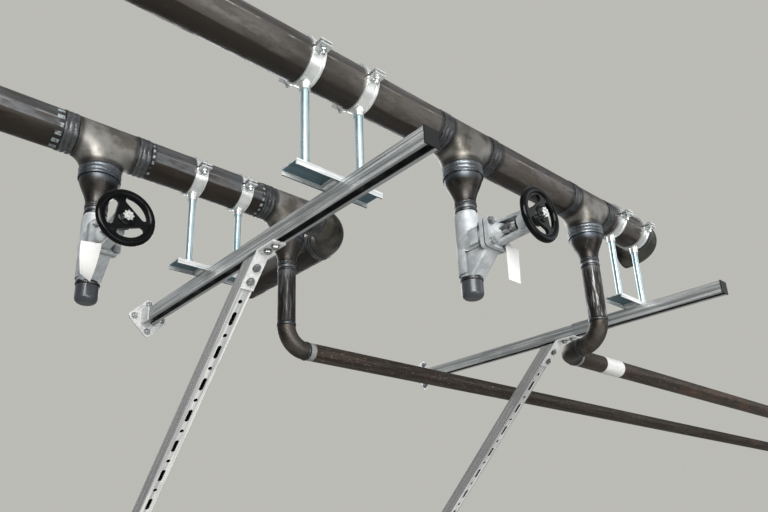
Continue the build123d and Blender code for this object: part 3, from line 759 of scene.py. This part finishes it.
# %% Dress the CAD nodes
DRESS = [
    (rear_header_finish, ["rear_header_spools"]),
    (front_header_finish, ["front_header_spools"]),
    (wall_pipe_finish, ["wall_pipe"]),
    (rear_tee_finish, ["rear_tees"]),
    (front_tee_finish, ["front_tees"]),
    (elbow_finish, ["rear_header_elbow", "front_header_elbow"]),
    (bend_finish, ["rear_drop_elbow", "front_drop_elbows"]),
    (reducer_finish, ["rear_reducers", "front_reducers"]),
    (rear_drop_finish, ["rear_drop_pipe"]),
    (front_drop_finish, ["front_drop_pipe"]),
    (rear_run_finish, ["rear_run_pipe"]),
    (front_run_finish, ["front_run_pipe"]),
    (rail_finish, ["left_rail", "right_rail"]),
    (sleeve_finish, ["rail_sleeve"]),
    (brace_finish, ["left_brace", "right_brace"]),
    (cross_finish, ["rear_left_cross_channel", "front_left_cross_channel"]),
    (cross_finish, ["front_right_cross_channel"]),
    (plate_finish, ["wall_saddles", "brace_feet", "brace_heads", "channel_seats"]),
    (stem_finish, ["rear_left_stems", "front_left_stems", "front_right_stems"]),
    (clamp_finish, ["rear_left_clamps", "front_left_clamps", "front_right_clamps"]),
    (valve_finish, ["rear_valve_body", "front_valve_body"]),
    (valve_finish, ["rear_valve_bonnet", "front_valve_bonnet"]),
    (spindle_finish, ["rear_valve_spindle", "front_valve_spindle"]),
    (wheel_finishes["rear"], ["rear_handwheel"]),
    (wheel_finishes["front"], ["front_handwheel"]),
    (cap_finish, ["valve_caps"]),
    (plastic_finish, ["rail_end_caps"]),
    (tag_finish, ["valve_tags"]),
]
left = set(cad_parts)
for finish, names in DRESS:
    for name in names:
        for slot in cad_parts[name].material_slots:
            slot.material = finish.material
        left.remove(name)
print("dressed", len(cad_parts) - len(left), "nodes; left:", left)

# %% [markdown]
# New pieces start as a bmesh, a mesh that operators can shape before any object exists. One
# helper turns the finished bmesh into an object that rides with a body. It merges doubles and
# turns all faces outwards, because spinning and extruding can leave both. Another helper
# gives the matrix that stands a shape up at a place, so the object itself never moves.

# %% From bmesh to piece
X_AXIS = (1, 0, 0)
Y_AXIS = (0, 1, 0)
Z_AXIS = (0, 0, 1)


def piece(name, bm, finish, body="body", sharp=40):
    bmesh.ops.remove_doubles(bm, verts=bm.verts, dist=1e-6)
    bmesh.ops.recalc_face_normals(bm, faces=bm.faces)
    mesh = bpy.data.meshes.new(name)
    bm.to_mesh(mesh)
    bm.free()
    mesh.polygons.foreach_set("use_smooth", [True] * len(mesh.polygons))
    mesh.set_sharp_from_angle(angle=math.radians(sharp))
    mesh.materials.append(finish.material)
    made = bpy.data.objects.new(name, mesh)
    bpy.context.scene.collection.objects.link(made)
    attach(made, body)
    print(name, len(mesh.polygons), "faces")


def stand(place, direction):
    """Matrix that puts local +Z along a direction at a place."""
    turn = Vector(direction).to_track_quat("Z", "Y").to_matrix().to_4x4()
    return Matrix.Translation(Vector(place)) @ turn


def spin_round(bm, loop, axis, steps):
    """Joins the points of a closed outline and spins it once round an axis."""
    edges = [bm.edges.new((loop[i], loop[(i + 1) % len(loop)])) for i in range(len(loop))]
    bmesh.ops.spin(
        bm, geom=loop + edges, cent=(0, 0, 0), axis=axis,
        angle=2 * math.pi, steps=steps, use_merge=True, use_duplicate=False,
    )


# %% [markdown]
# A butt weld is a ring of one to three rounded passes that stand a little proud of the pipe.
# A torus could stand for it, but it would be too even and too round. Here the cross-section
# is drawn once as a closed loop of short edges and spun round the pipe, and a slow noise
# makes it swell and wander.

# %% Weld beads
POINTS_A_PASS = 6
BEAD_RISE = 0.4 * MM
BEAD_ROOT = 1.2 * MM
BEAD_WOBBLE = 0.6 * MM
BEAD_WANDER = 2.2 * MM


def bead(bm, place, direction, radius, width, passes, height, steps=56):
    """Weld of so many passes round a pipe."""
    crests = bm.verts.layers.float.get("crest") or bm.verts.layers.float.new("crest")
    before = set(bm.verts)
    last = POINTS_A_PASS * passes
    loop = []
    for index in range(last + 1):
        share = index / last
        crest = abs(math.sin(math.pi * passes * share))
        out = radius + height * crest ** 0.75 + BEAD_RISE
        vert = bm.verts.new((out, 0, (share - 0.5) * width))
        vert[crests] = 0 if index in (0, 1, last - 1, last) else max(crest, 0.5)
        loop.append(vert)
    for end in (0.5, -0.5):
        loop.append(bm.verts.new((radius - BEAD_ROOT, 0, end * width)))
    spin_round(bm, loop, Z_AXIS, steps)

    new = [v for v in bm.verts if v not in before]
    for vert in new:
        reach = Vector((vert.co.x, vert.co.y, 0))
        if reach.length > radius:
            row = Vector((vert.co.x, vert.co.y, vert.co.z * 3.0)) * 60 + Vector(place) * 40
            swell = vert[crests] * height * 0.6 * field.noise(row)
            wobble = field.noise((vert.co + Vector(place)) * 150) * BEAD_WOBBLE
            deepest = -BEAD_RISE - vert[crests] * height * 0.5
            vert.co += reach.normalized() * max(swell + wobble, deepest)
            vert.co.z += field.noise(vert.co * 30 + Vector(place)) * BEAD_WANDER
    bmesh.ops.transform(bm, matrix=stand(place, direction), verts=new)


# %% [markdown]
# A weld is nearly black in the valleys between its passes and along its edges, as painted
# shade, and bright flecks on its ripples are painted glints. A noise wouldn't follow the
# passes, so each vertex keeps how high on a pass it lies, and the finish reads it.

# %% Weld finish
def weld_steel(name, bright, tint, valley_shade, painted_glint):
    f = Finish(name)
    crest = f.node("ShaderNodeAttribute", {"attribute_name": "crest"}, {}, "Fac")
    ripple = noise(f, 240, detail=4, rough=0.6)
    cloud = noise(f, 26)
    # Painted shade in the valleys between passes and along the edges.
    low = 1 - step(f, crest + (cloud - 0.5) * 0.5, 0.15, 0.60)
    colour = coats(f, blend(f, step(f, cloud, 0.38, 0.64), bright, tint), [
        (low * 0.92, valley_shade),
        # Bright flecks on the ripples are painted glints.
        (step(f, ripple, 0.56, 0.68) * painted_glint, rgb(0.66, 0.70, 0.73)),
    ])
    return f.surface(
        Base_Color=colour,
        Metallic=0.85,
        Roughness=0.26 + ripple * 0.18,
        Normal=bump(f, ripple + cloud, 0.7 * MM),
    )


header_weld = weld_steel(
    "header_weld", rgb(0.120, 0.122, 0.126), rgb(0.060, 0.061, 0.065),
    rgb(0.013, 0.013, 0.014), 0.15,
)
branch_weld = weld_steel(
    "branch_weld", rgb(0.170, 0.188, 0.205), rgb(0.085, 0.095, 0.106),
    rgb(0.015, 0.016, 0.018), 0.20,
)
small_weld = weld_steel(
    "small_weld", rgb(0.085, 0.087, 0.090), rgb(0.040, 0.041, 0.043),
    rgb(0.014, 0.014, 0.015), 0.25,
)

# %% [markdown]
# The headers' joints took broad welds of two or three passes, the small pipes' one or two.
# They could be one object, but each kind of joint is easier to change on its own.

# %% Welds on the headers and under the tees
# A bead's width, its number of passes and their height.
HEADER_BEAD = (42 * MM, 3, 1.3 * MM)
BEND_BEAD = (30 * MM, 2, 1.8 * MM)
BRANCH_BEAD = (36 * MM, 3, 1.4 * MM)
REAR_BEND = (550.9 * MM, REAR_TURN_Y, HEADER_Z)
FRONT_BEND = (FRONT_BEND_X, FRONT_Y, HEADER_Z)
HEADERS = {
    "rear": (REAR_SEAMS, REAR_Y, REAR_BEND, Y_AXIS),
    "front": (FRONT_SEAMS, FRONT_Y, FRONT_BEND, X_AXIS),
}
for name, (seams, y, bend, bend_axis) in HEADERS.items():
    welds = bmesh.new()
    for x in seams:
        bead(welds, (x, y, HEADER_Z), X_AXIS, HEADER_R, *HEADER_BEAD)
    bead(welds, bend, bend_axis, HEADER_R, *BEND_BEAD)
    piece(name + "_header_welds", welds, header_weld)

TEES = [(x, REAR_Y) for x in REAR_TEES] + [(x, FRONT_Y) for x in FRONT_TEES]
branch_welds = bmesh.new()
for x, y in TEES:
    bead(branch_welds, (x, y, UNDER_TEE_Z), Z_AXIS, HEADER_R, *BRANCH_BEAD)
piece("tee_branch_welds", branch_welds, branch_weld)

# %% Welds on the small pipes
BRANCH_R = 30.15 * MM
RUN_Z = -158.5 * MM
FRONT_RUN_Y = -918 * MM
SMALL_STEPS = 40
PUP_TOP_Z, PUP_TOP_BEAD = 130 * MM, (15 * MM, 2, 1.4 * MM)
PUP_END_Z, PUP_END_BEAD = 109.5 * MM, (11 * MM, 1, 1.4 * MM)
VALVE_LOW_Z, VALVE_BEAD = -99.5 * MM, (12 * MM, 1, 1.6 * MM)
BEND_TOP_Z, PIPE_BEAD = -82.5 * MM, (14 * MM, 1, 1.4 * MM)

seams = []
for x, y in TEES:
    seams.append(((x, y, PUP_TOP_Z), Z_AXIS, PUP_TOP_BEAD))
    seams.append(((x, y, PUP_END_Z), Z_AXIS, PUP_END_BEAD))
for x, y in VALVES.values():
    seams.append(((x, y, VALVE_LOW_Z), Z_AXIS, VALVE_BEAD))
for x, y in (TEES[1], TEES[3]):
    seams.append(((x, y, BEND_TOP_Z), Z_AXIS, PIPE_BEAD))
seams += [
    ((369.5 * MM, REAR_Y, RUN_Z), X_AXIS, PIPE_BEAD),
    ((FRONT_TEES[1], -994 * MM, RUN_Z), Y_AXIS, PIPE_BEAD),
    ((1174 * MM, FRONT_RUN_Y, RUN_Z), X_AXIS, PIPE_BEAD),
]
small_welds = bmesh.new()
for place, axis, size in seams:
    bead(small_welds, place, axis, BRANCH_R, *size, steps=SMALL_STEPS)
piece("branch_pipe_welds", small_welds, small_weld)

# %% [markdown]
# Every screw, nut and washer is a short prism with softened edges: six sides for a hexagon,
# many for a rod or washer. Bare cylinders could stand for them, but a sharp rim catches no
# light. One helper draws the outline as a filled circle, extrudes it and bevels the rims, and
# a fastening is a stack of a few such rings on one line.

# %% Bolts, nuts and washers
def prism(bm, place, direction, radius, low, high, sides=6, soft=0.6 * MM):
    """Closed prism on a line, between two distances from a place."""
    before = set(bm.verts)
    base = bmesh.ops.create_circle(bm, cap_ends=True, segments=sides, radius=radius)
    cap = list({face for vert in base["verts"] for face in vert.link_faces})
    grown = bmesh.ops.extrude_face_region(bm, geom=cap)
    upper = [part for part in grown["geom"] if isinstance(part, bmesh.types.BMVert)]
    new = [v for v in bm.verts if v not in before]
    bmesh.ops.translate(bm, verts=new, vec=(0, 0, low))
    bmesh.ops.translate(bm, verts=upper, vec=(0, 0, high - low))
    edges = {e for v in new for e in v.link_edges}
    rims = [e for e in edges if abs(e.verts[0].co.z - e.verts[1].co.z) < 1e-7]
    bmesh.ops.bevel(
        bm, geom=rims, offset=soft, segments=2, profile=0.5, affect="EDGES", material=-1,
    )
    new = [v for v in bm.verts if v not in before]
    bmesh.ops.transform(bm, matrix=stand(place, direction), verts=new)


def stack(bm, place, direction, rings):
    """Prisms on one line. A ring is its radius, low, high and perhaps sides and softness."""
    for ring in rings:
        prism(bm, place, direction, *ring)


WASHER_T = 1.6 * MM


def bolt(bm, place, direction, size, grip, tail):
    """Head and washer at a place, nut and thread end at the far side of what it grips."""
    nut_end = -grip - size * 0.8
    stack(bm, place, direction, [
        (size * 1.08, 0, WASHER_T, 20, 0.3 * MM),
        (size * 0.92, WASHER_T, WASHER_T + size * 0.68),
        (size * 0.92, nut_end, -grip),
        (size * 0.5, nut_end - tail, 1 * MM, 16, 0.5 * MM),
    ])


# %% [markdown]
# A band clamp is closed by a screw on each side, through the ears of both halves: a hexagon
# head above, a nut below, and a long thread end. The screws are separate from the bands on
# the real clamp too, so they are pieces of their own. Each rod of a clamp stands in its cross
# channel on a foot nut, which the CAD has, between two washers.

# %% Screws and rod washers of the clamps
CLAMPS = {
    "rear_left": (REAR_Y, (-63.5 * MM, 99.5 * MM)),
    "front_left": (FRONT_Y, (-97.5 * MM, 71.5 * MM)),
    "front_right": (FRONT_Y, (BAY - 93.5 * MM, BAY + 66.5 * MM)),
}
EAR_Y = 74.5 * MM
EAR_TOP = 7 * MM
CLAMP_SCREW = 9.5 * MM
CLAMP_TAIL = 10 * MM
for name, (y, xs) in CLAMPS.items():
    screws = bmesh.new()
    for x in xs:
        for side in (-1, 1):
            spot = (x, y + side * EAR_Y, HEADER_Z + EAR_TOP)
            bolt(screws, spot, Z_AXIS, CLAMP_SCREW, 2 * EAR_TOP, CLAMP_TAIL)
    piece(name + "_clamp_screws", screws, screw_finish)

CROSS_TOP = 36.5 * MM
ROD_WASHERS = [
    (20 * MM, 0.1 * MM, 2 * MM, 28, 0.4 * MM),
    (14.5 * MM, 10.2 * MM, 12.5 * MM, 24, 0.4 * MM),
]
for name, (y, xs) in CLAMPS.items():
    washers = bmesh.new()
    for x in xs:
        stack(washers, (x, y, CROSS_TOP), Z_AXIS, ROD_WASHERS)
    piece(name + "_rod_washers", washers, screw_finish)

# %% [markdown]
# The square end plates of the rails and braces are fixed with four anchors each, one near
# every corner. An anchor's body is out of sight in its hole, so only its washer, its nut and
# the end of its thread are made.

# %% Anchors of the end plates
FOOT_Z = -736 * MM
PLATE_T = 6 * MM
ANCHOR_R = 50 * MM
CORNERS = ((1, 0), (0, 1), (-1, 0), (0, -1))
OUTWARDS = (0, -1, 0)
ANCHOR = [
    (11.5 * MM, 0, 2 * MM, 24, 0.4 * MM),
    (9 * MM, 2 * MM, 10 * MM),
    (4.8 * MM, 9 * MM, 18 * MM, 16),
]
anchors = bmesh.new()
for x in RAIL_MIDDLES:
    for z in (0, FOOT_Z):
        for dx, dz in CORNERS:
            spot = (x + dx * ANCHOR_R, -PLATE_T, z + dz * ANCHOR_R)
            stack(anchors, spot, OUTWARDS, ANCHOR)
piece("wall_anchors", anchors, dark_screw_finish)

# %% [markdown]
# The bent head plate is bolted to the rail above it and to the brace below. Its bolts show a
# wide dark washer and a flat head, square to whichever leg they sit on, so the ones on the
# brace lean with it.

# %% Bolts of the brace heads
HEAD_T = 5 * MM
BEND_Y = -744.5 * MM
RAIL_LOW_Z = -20.5 * MM
WIDE_WASHER = (12.5 * MM, 0, 2 * MM, 24, 0.4 * MM)
RAIL_BOLT = [WIDE_WASHER, (10.5 * MM, 2 * MM, 9.5 * MM)]
BRACE_BOLT = [WIDE_WASHER, (10.5 * MM, 2 * MM, 7 * MM)]
head_bolts = bmesh.new()
for x in RAIL_MIDDLES:
    for reach in (24 * MM, 60 * MM):
        spot = (x, BEND_Y - reach, RAIL_LOW_Z - HEAD_T)
        stack(head_bolts, spot, (0, 0, -1), RAIL_BOLT)
    for reach in (48 * MM, 91 * MM):
        drop = reach / math.sqrt(2)
        skin = HEAD_T / math.sqrt(2)
        spot = (x, BEND_Y + drop - skin, RAIL_LOW_Z - drop - skin)
        stack(head_bolts, spot, (0, -1, -1), BRACE_BOLT)
piece("brace_head_bolts", head_bolts, dark_screw_finish)

# %% [markdown]
# The valve's bonnet is bolted to its body through the corners of two square flanges, and two
# studs beside the spindle pull the gland down. They could be bumps of the finish, but a bolt's
# shadow on the flange is what makes the joint readable, so they are modelled.

# %% Bolts of the valves
FLANGE_OUT = 103 * MM
FLANGE_GRIP = 28 * MM
FLANGE_CORNER = 30 * MM
FLANGE_BOLT = 10.5 * MM
FLANGE_TAIL = 5 * MM
STUD_SIDE = 19.5 * MM
STUD_OUT = 127 * MM
STUD = [(4 * MM, -3 * MM, 30 * MM, 14, 0.4 * MM), (7.2 * MM, 14 * MM, 21 * MM)]
for name, (x, y) in VALVES.items():
    bolts = bmesh.new()
    for side in (-1, 1):
        for level in (-1, 1):
            spot = (x + side * FLANGE_CORNER, y - FLANGE_OUT, VALVE_Z + level * FLANGE_CORNER)
            bolt(bolts, spot, OUTWARDS, FLANGE_BOLT, FLANGE_GRIP, FLANGE_TAIL)
        stack(bolts, (x + side * STUD_SIDE, y - STUD_OUT, VALVE_Z), OUTWARDS, STUD)
    piece(name + "_valve_bolts", bolts, dark_screw_finish)

# %% [markdown]
# The tape is wound round the front run pipe in overlapping turns, so its outline has small
# steps. A helix of flat ribbon could be swept, but its edges would cut into each other. So
# the stepped outline is spun like a weld, and then sheared so that the turns climb. Wrinkles
# only push it outwards, so it never dips into the pipe.

# %% Tape on the front run pipe
TAPE_FROM = 1344 * MM
TAPE_TO = 1462 * MM
TAPE_TURNS = 5
TAPE_STEPS = 72
TAPE_ROOT = 0.8 * MM
TAPE_T = 0.4 * MM
TAPE_CLIMB = 1 * MM
TAPE_SHEAR = 0.10
WRINKLE = 1.6 * MM


def wrap(bm, start, end, radius):
    pitch = (end - start) / TAPE_TURNS
    loop = [bm.verts.new((start, 0, radius - TAPE_ROOT))]
    for turn in range(TAPE_TURNS):
        for share in (0, 0.31, 0.62, 0.93):
            out = radius + TAPE_T + share * TAPE_CLIMB
            loop.append(bm.verts.new((start + (turn + share) * pitch, 0, out)))
    loop.append(bm.verts.new((end, 0, radius - TAPE_ROOT)))
    spin_round(bm, loop, X_AXIS, TAPE_STEPS)
    for vert in bm.verts:
        vert.co.x += TAPE_SHEAR * vert.co.y
        crease = field.noise(vert.co * 60) + 0.6 * field.noise(vert.co * 170)
        reach = Vector((0, vert.co.y, vert.co.z))
        if reach.length > radius:
            vert.co += reach.normalized() * max(crease, 0) * WRINKLE


tape = bmesh.new()
wrap(tape, TAPE_FROM, TAPE_TO, BRANCH_R)
bmesh.ops.translate(tape, verts=tape.verts, vec=(0, FRONT_RUN_Y, RUN_Z))
piece("run_pipe_tape", tape, tape_finish, sharp=25)

# %% [markdown]
# The bridge is mounted high up, so the floor lies far below it. It could be left out, but its
# pale bounce is what lights the undersides from other angles. It is a wide plain sheet and
# isn't part of the object.

# %% Floor
FLOOR_Z = -2.4
FLOOR_HALF = 60
floor_mesh = bpy.data.meshes.new("floor")
floor_bm = bmesh.new()
bmesh.ops.create_grid(floor_bm, x_segments=1, y_segments=1, size=FLOOR_HALF)
bmesh.ops.translate(floor_bm, verts=floor_bm.verts, vec=(1.8, -0.6, FLOOR_Z))
floor_bm.to_mesh(floor_mesh)
floor_bm.free()
floor = bpy.data.objects.new("floor", floor_mesh)
bpy.context.scene.collection.objects.link(floor)
floor_finish = Finish("pale_floor")
floor_cloud = noise(floor_finish, 2.0) * 0.2
floor_finish.surface(
    Base_Color=blend(floor_finish, floor_cloud, rgb(0.76, 0.755, 0.73), rgb(0.70, 0.695, 0.67)),
    Roughness=0.85,
)
floor_mesh.materials.append(floor_finish.material)

# %% [markdown]
# Polished metal only shows its form when it mirrors something uneven. One even tone all
# round would leave it flat, so what lights the steel is brighter above, in front and behind
# than it is below and at the ends. What the camera sees directly is another matter: there the
# backdrop stays one even pale tone, chosen by asking whether a ray comes from the camera.

# %% Surround
hall = bpy.data.worlds.new("pale_surround")
hall.use_nodes = True
bpy.context.scene.world = hall
surround = Web(hall.node_tree)
direction = surround.node("ShaderNodeTexCoord", out="Generated")
height = surround.node("ShaderNodeSeparateXYZ", {}, {"Vector": direction}, "Z")
behind = surround.node("ShaderNodeSeparateXYZ", {}, {"Vector": direction}, "Y")
from_above = step(surround, height, 0.0, 0.9) * 0.12
from_front = step(surround, behind * -1, 0.05, 0.95) * 0.62
from_behind = step(surround, behind, 0.25, 0.95) * 0.42
glow = {"Color": rgb(0.97, 0.99, 1.0), "Strength": 0.10 + from_above + from_front + from_behind}
backdrop = {"Color": rgb(0.50, 0.497, 0.465), "Strength": 1.0}
lit = surround.node("ShaderNodeBackground", {}, glow)
seen = surround.node("ShaderNodeBackground", {}, backdrop)
is_seen = surround.node("ShaderNodeLightPath", out="Is Camera Ray")
mixed = surround.node("ShaderNodeMixShader", {}, {0: is_seen, 1: lit, 2: seen})
surround.plug(hall.node_tree.nodes["World Output"], {"Surface": mixed})
bpy.context.scene.view_settings.view_transform = "Standard"
print("surround:", len(hall.node_tree.nodes), "nodes")

# %% [markdown]
# Five large soft lamps do the rest: a key from the left, weak ones above and at the right, a
# low one in front for the undersides, and one behind for views from the back. Bare bulbs
# would draw hard spots on the pipes. The spread of three lamps is narrowed, as a honeycomb
# does in a studio, so that more of their light falls on the steel and less on the floor.

# %% Lamps
def lamp(name, place, target, size, power, tint, spread=180):
    light = bpy.data.lights.new(name, "AREA")
    light.shape = "RECTANGLE"
    light.size, light.size_y = size
    light.energy = power
    light.spread = math.radians(spread)
    light.color = tint
    made = bpy.data.objects.new(name, light)
    made.location = place
    made.rotation_euler = (Vector(target) - Vector(place)).to_track_quat("-Z", "Y").to_euler()
    bpy.context.scene.collection.objects.link(made)
    print(name, power, "W")


lamp(
    "key", place=(-1.9, -4.0, 0.8), target=(0.6, -0.6, 0.1), size=(3.0, 1.8),
    power=68, tint=(1.0, 0.99, 0.97), spread=100,
)
lamp(
    "top", place=(0.8, -0.9, 3.2), target=(0.8, -0.7, 0.0), size=(3.5, 1.6),
    power=7, tint=(0.95, 0.98, 1.0),
)
lamp(
    "side", place=(4.4, -3.0, 1.2), target=(1.2, -0.8, 0.1), size=(2.4, 2.4),
    power=14, tint=(0.93, 0.97, 1.0),
)
lamp(
    "low", place=(0.6, -5.6, -1.2), target=(0.5, -0.6, 0.1), size=(4.0, 1.6),
    power=14, tint=(1.0, 1.0, 0.99), spread=70,
)
lamp(
    "back", place=(2.6, 3.6, 1.6), target=(1.4, -0.4, 0.0), size=(4.0, 2.4),
    power=26, tint=(0.97, 0.99, 1.0), spread=100,
)

# %% [markdown]
# The camera stands low and to the left and looks up along the bridge, as it did for the
# photograph. Its place could be found by trial, but a small slip shows at once in lines as
# long as these, so it was worked out from the lines of headers, rails and rods. The lens is
# about 32 mm on a full frame, with a small shift for the crop.

# %% Camera
EYE = (-0.8975, -2.175, -0.8095)
RIGHT = Vector((0.7684, -0.6396, -0.0229))
DOWN = Vector((0.1964, 0.2697, -0.9428))
AHEAD = Vector((0.6092, 0.7199, 0.3328))
camera_data = bpy.data.cameras.new("camera")
camera_data.sensor_width = 36
camera_data.lens = 31.94
camera_data.shift_x = 0.040
camera_data.shift_y = 0.0819
camera = bpy.data.objects.new("camera", camera_data)
turn = Matrix((RIGHT, -DOWN, -AHEAD)).transposed().to_4x4()
camera.matrix_world = Matrix.Translation(EYE) @ turn
bpy.context.scene.collection.objects.link(camera)
bpy.context.scene.camera = camera
print("camera at", EYE, "with a lens of", camera_data.lens, "mm")
